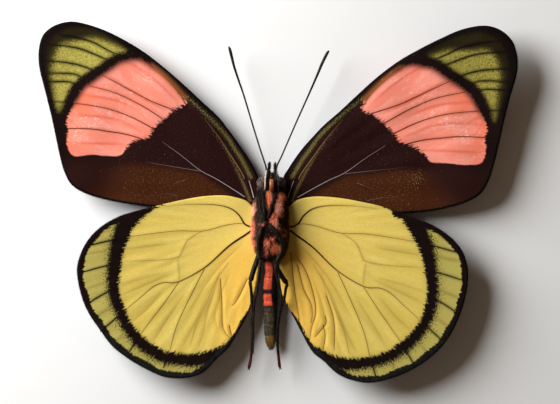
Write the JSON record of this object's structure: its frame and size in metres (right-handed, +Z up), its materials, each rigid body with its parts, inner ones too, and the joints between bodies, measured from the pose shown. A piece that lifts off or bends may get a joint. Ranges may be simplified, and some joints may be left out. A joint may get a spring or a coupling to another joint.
{
  "type": "spread butterfly specimen",
  "caption": "Dried butterfly with spread wings, lying on its back so that the underside with its folded legs, coiled tongue and coloured wing patches shows.",
  "frame": {"origin": "on the flat of the back, under the middle of the thorax, where the specimen rests", "axes": "+X across the wings, to the right of someone who looks down on the underside; +Y towards the head and antennae; +Z up, out of the underside"},
  "size_m": [0.0903, 0.0681, 0.009],
  "materials": {
    "forewing": "dark brown wing scales with a coral patch and an olive tip",
    "hindwing": "yellow wing scales with a black band",
    "body": "red and black fur",
    "abdomen": "short scales in bands of red and dark olive",
    "chitin": "dark satin cuticle with scales",
    "eye": "fine facets, dull gloss",
    "tongue": "coppery, satin"
  },
  "bodies": {
    "root": {"thorax": "body", "head": "body", "abdomen": "abdomen", "eye_left": "eye", "eye_right": "eye", "tongue": "tongue", "palp_left": "chitin", "palp_right": "chitin", "antenna_left": "chitin", "antenna_right": "chitin", "foreleg_left": "chitin", "foreleg_right": "chitin", "midleg_left": "chitin", "midleg_right": "chitin", "hindleg_left": "chitin", "hindleg_right": "chitin", "forewing_left": "forewing", "forewing_right": "forewing", "hindwing_left": "hindwing", "hindwing_right": "hindwing"}
  },
  "joints": []
}
